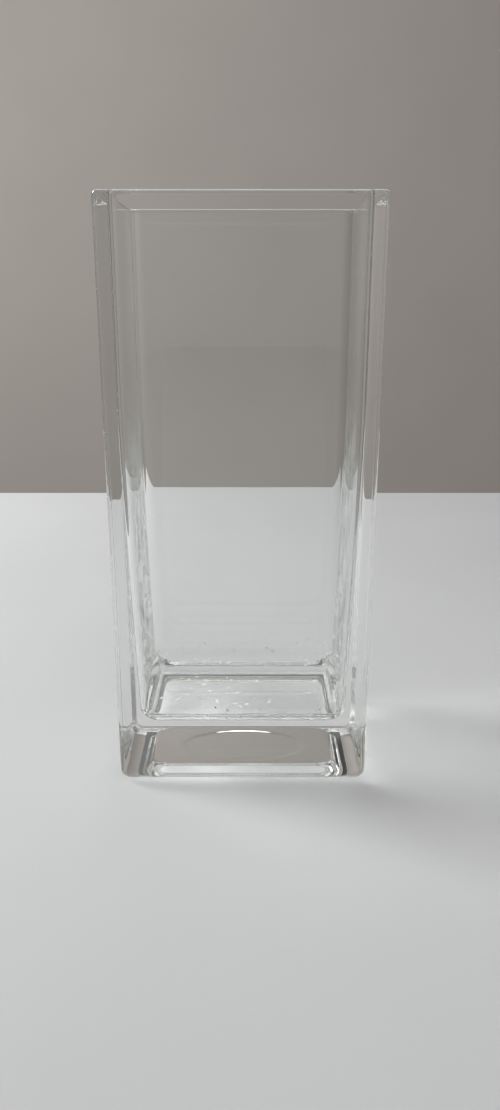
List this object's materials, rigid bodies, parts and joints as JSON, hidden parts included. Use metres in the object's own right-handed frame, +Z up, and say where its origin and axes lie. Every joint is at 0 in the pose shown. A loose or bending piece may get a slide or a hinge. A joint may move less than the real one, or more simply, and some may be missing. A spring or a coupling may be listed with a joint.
{
  "type": "rectangular glass vase",
  "caption": "Tall rectangular clear glass vase with rounded edges, a thick heavy base and a recessed underside.",
  "frame": {"origin": "centre of the footprint, on the plane that the foot stands on", "axes": "+Z up, through the mouth; X across the broad faces; the broad front face looks along -Y"},
  "size_m": [0.1016, 0.0762, 0.2286],
  "materials": {
    "clear_glass": "clear soda-lime glass with a faint grey-green tint, fire-polished and slightly wavy"
  },
  "bodies": {
    "root": {"glass_body": "clear_glass"}
  },
  "joints": []
}
